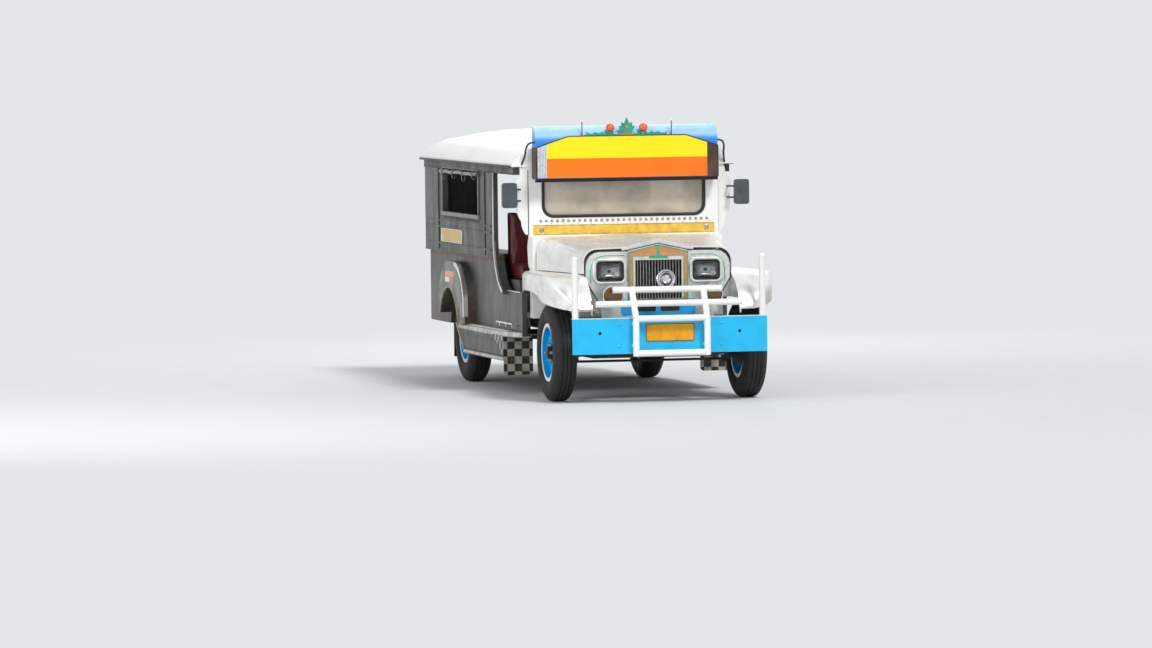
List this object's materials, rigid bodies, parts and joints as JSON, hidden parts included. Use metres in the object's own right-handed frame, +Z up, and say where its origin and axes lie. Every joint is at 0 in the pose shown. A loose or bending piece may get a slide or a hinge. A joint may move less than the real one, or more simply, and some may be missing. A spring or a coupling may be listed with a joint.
{
  "type": "jeepney",
  "caption": "Short public utility jeepney with open sides, sign visor, ladder frame, steered front wheels and an opening hood",
  "frame": {"origin": "centre of the overall box in plan, on the ground under the wheels", "axes": "+X to the vehicle's left, +Y to its rear, +Z up; the front faces -Y"},
  "size_m": [2.02, 5.575, 2.2119],
  "materials": {
    "chassis_black": "black frame paint",
    "axle_black": "forged and cast, black",
    "engine_grey": "bare casting",
    "radiator_black": "black",
    "exhaust_steel": "heat browned",
    "galvanised": "dull galvanised sheet with rust lines",
    "stainless": "polished stainless sheet",
    "white_paint": "gloss white",
    "visor_paint": "sky blue over yellow and orange",
    "crest_paint": "teal and orange",
    "grille_paint": "orange with teal outline",
    "lamp_glass": "clear sealed lamp",
    "amber_lens": "amber lens",
    "red_lens": "red lens",
    "chrome": "chrome plate",
    "blue_paint": "sky blue gloss",
    "clear_glass": "clear",
    "tyre_rubber": "road tyre",
    "rim_paint": "sky blue disc, white ring",
    "rubber": "black rubber with chequers",
    "vinyl": "maroon vinyl",
    "black_plastic": "black",
    "seat_steel": "grey"
  },
  "bodies": {
    "body": {"chassis_frame": "chassis_black", "front_axle": "axle_black", "rear_axle": "axle_black", "leaf_springs": "axle_black", "engine_block": "engine_grey", "radiator": "radiator_black", "propshaft": "axle_black", "exhaust": "exhaust_steel", "fuel_tank": "chassis_black", "floor_pan": "seat_steel", "cowl": "white_paint", "steering_wheel": "black_plastic", "face_panel": "stainless", "grille": "grille_paint", "headlamps": "lamp_glass", "front_fenders": "stainless", "front_bumper": "blue_paint", "guard": "white_paint", "amber_lamps": "amber_lens", "round_lamp": "chrome", "windshield_frame": "white_paint", "windshield_glass": "clear_glass", "roof": "white_paint", "visor": "visor_paint", "crest": "crest_paint", "side_left": "galvanised", "side_right": "galvanised", "rear_wall": "galvanised", "rear_fenders": "stainless", "running_boards": "stainless", "mud_flaps": "rubber", "rear_step": "chassis_black", "seat_boxes": "seat_steel", "bench_pads": "vinyl", "front_seat_pads": "vinyl", "mirrors": "black_plastic", "tail_lamps": "red_lens", "grab_rails": "chrome"},
    "hood": {"hood": "stainless"},
    "knuckle_left": {"knuckle_left": "axle_black"},
    "knuckle_right": {"knuckle_right": "axle_black"},
    "tie_rod": {"tie_rod": "axle_black"},
    "wheel_front_left": {"tyre_front_left": "tyre_rubber", "rim_front_left": "rim_paint"},
    "wheel_front_right": {"tyre_front_right": "tyre_rubber", "rim_front_right": "rim_paint"},
    "wheel_rear_left": {"tyre_rear_left": "tyre_rubber", "rim_rear_left": "rim_paint"},
    "wheel_rear_right": {"tyre_rear_right": "tyre_rubber", "rim_rear_right": "rim_paint"}
  },
  "joints": [
    {"name": "steer_right", "type": "hinge", "parent": "body", "child": "knuckle_right", "pos_m": [-0.62, -2.0625, 0.385], "axis": [0, 0, 1], "range_deg": [-30, 30]},
    {"name": "steer_left", "type": "hinge", "parent": "body", "child": "knuckle_left", "pos_m": [0.62, -2.0625, 0.385], "axis": [0, 0, 1], "range_deg": [-30, 30]},
    {"name": "tie_rod_pin", "type": "hinge", "parent": "knuckle_right", "child": "tie_rod", "pos_m": [-0.62, -1.9025, 0.3], "axis": [0, 0, 1], "range_deg": [-30, 30]},
    {"name": "spin_front_left", "type": "hinge", "parent": "knuckle_left", "child": "wheel_front_left", "pos_m": [0.765, -2.0625, 0.385], "axis": [1, 0, 0], "continuous": true},
    {"name": "spin_front_right", "type": "hinge", "parent": "knuckle_right", "child": "wheel_front_right", "pos_m": [-0.765, -2.0625, 0.385], "axis": [1, 0, 0], "continuous": true},
    {"name": "spin_rear_left", "type": "hinge", "parent": "body", "child": "wheel_rear_left", "pos_m": [0.735, 1.2875, 0.385], "axis": [1, 0, 0], "continuous": true},
    {"name": "spin_rear_right", "type": "hinge", "parent": "body", "child": "wheel_rear_right", "pos_m": [-0.735, 1.2875, 0.385], "axis": [1, 0, 0], "continuous": true},
    {"name": "hood_hinge", "type": "hinge", "parent": "body", "child": "hood", "pos_m": [0, -1.2625, 1.258], "axis": [-1, 0, 0], "range_deg": [0, 45]}
  ],
  "couplings": [
    {"joint": "steer_left", "follows": "steer_right", "ratio": 1},
    {"joint": "tie_rod_pin", "follows": "steer_right", "ratio": -1}
  ]
}
